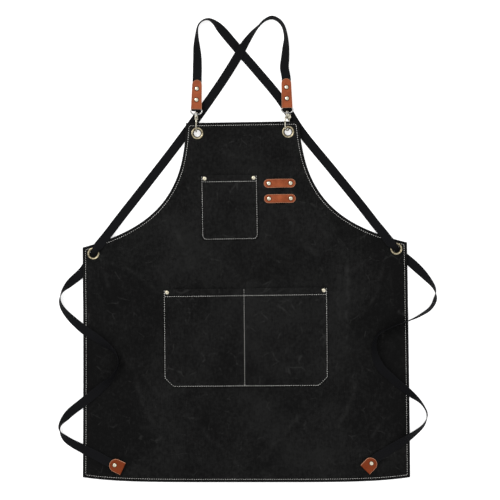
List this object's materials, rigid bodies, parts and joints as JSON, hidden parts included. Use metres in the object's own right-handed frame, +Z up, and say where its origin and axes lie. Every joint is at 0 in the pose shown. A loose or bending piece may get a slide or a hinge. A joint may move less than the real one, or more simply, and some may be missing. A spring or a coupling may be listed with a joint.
{
  "type": "artist smock apron",
  "caption": "Cross-back canvas work apron laid flat, with patch pockets, leather tool loops, and webbing straps on swivel snap hooks through metal grommets.",
  "frame": {"origin": "on the table, under the middle of the apron and its hook tabs, straps left out", "axes": "+Z up from the table out of the apron's front, +Y from the bottom hem to the neck, +X to the right as seen from above"},
  "size_m": [0.7935, 0.9773, 0.0222],
  "materials": {
    "canvas": "waxed canvas, matte, with faint creases",
    "webbing": "ribbed woven tape, matte",
    "leather": "tan, fine grain, burnished edges",
    "antique_brass": "antique, rubbed bright on its edges",
    "rivet_brass": "pale, polished",
    "nickel": "satin nickel"
  },
  "bodies": {
    "apron": {"apron_panel": "canvas", "chest_pocket": "canvas", "lower_pocket": "canvas", "upper_tool_loop": "leather", "lower_tool_loop": "leather", "left_tab_front": "leather", "left_tab_back": "leather", "left_strap_tip": "leather", "left_strap": "webbing", "left_hook_bow": "nickel", "right_tab_front": "leather", "right_tab_back": "leather", "right_strap_tip": "leather", "right_strap": "webbing", "right_hook_bow": "nickel", "bib_left_eyelet": "antique_brass", "bib_left_washer": "antique_brass", "bib_right_eyelet": "antique_brass", "bib_right_washer": "antique_brass", "waist_left_eyelet": "antique_brass", "waist_left_washer": "antique_brass", "waist_right_eyelet": "antique_brass", "waist_right_washer": "antique_brass", "chest_rivet_left_cap": "rivet_brass", "chest_rivet_left_post": "rivet_brass", "chest_rivet_right_cap": "rivet_brass", "chest_rivet_right_post": "rivet_brass", "lower_rivet_left_cap": "rivet_brass", "lower_rivet_left_post": "rivet_brass", "lower_rivet_right_cap": "rivet_brass", "lower_rivet_right_post": "rivet_brass", "upper_tool_loop_rivet_left_cap": "rivet_brass", "upper_tool_loop_rivet_left_post": "rivet_brass", "upper_tool_loop_rivet_right_cap": "rivet_brass", "upper_tool_loop_rivet_right_post": "rivet_brass", "lower_tool_loop_rivet_left_cap": "rivet_brass", "lower_tool_loop_rivet_left_post": "rivet_brass", "lower_tool_loop_rivet_right_cap": "rivet_brass", "lower_tool_loop_rivet_right_post": "rivet_brass", "left_tab_rivet_lower_cap": "rivet_brass", "left_tab_rivet_lower_post": "rivet_brass", "left_tab_rivet_upper_cap": "rivet_brass", "left_tab_rivet_upper_post": "rivet_brass", "right_tab_rivet_lower_cap": "rivet_brass", "right_tab_rivet_lower_post": "rivet_brass", "right_tab_rivet_upper_cap": "rivet_brass", "right_tab_rivet_upper_post": "rivet_brass", "left_strap_tip_rivet_cap": "rivet_brass", "left_strap_tip_rivet_post": "rivet_brass", "right_strap_tip_rivet_cap": "rivet_brass", "right_strap_tip_rivet_post": "rivet_brass"},
    "left_hook": {"left_hook_body": "antique_brass", "left_gate_pin": "antique_brass", "left_gate_spring": "nickel"},
    "right_hook": {"right_hook_body": "antique_brass", "right_gate_pin": "antique_brass", "right_gate_spring": "nickel"},
    "left_gate": {"left_gate": "antique_brass"},
    "right_gate": {"right_gate": "antique_brass"}
  },
  "joints": [
    {"name": "left_hook_swivel", "type": "hinge", "parent": "apron", "child": "left_hook", "pos_m": [-0.10504, 0.35245, 0.01155], "axis": [0, 1, 0], "range_deg": [-35, 35]},
    {"name": "left_gate_hinge", "type": "hinge", "parent": "left_hook", "child": "left_gate", "pos_m": [-0.10504, 0.3378, 0.00505], "axis": [-1, 0, 0], "range_deg": [0, 12], "stiffness_Nm_per_rad": 0.004, "springref_deg": -17.19},
    {"name": "right_hook_swivel", "type": "hinge", "parent": "apron", "child": "right_hook", "pos_m": [0.08536, 0.35549, 0.01155], "axis": [0, 1, 0], "range_deg": [-3, 77]},
    {"name": "right_gate_hinge", "type": "hinge", "parent": "right_hook", "child": "right_gate", "pos_m": [0.08971, 0.34084, 0.00672], "axis": [-0.7431, 0, -0.6691], "range_deg": [0, 12], "stiffness_Nm_per_rad": 0.004, "springref_deg": -17.19}
  ]
}
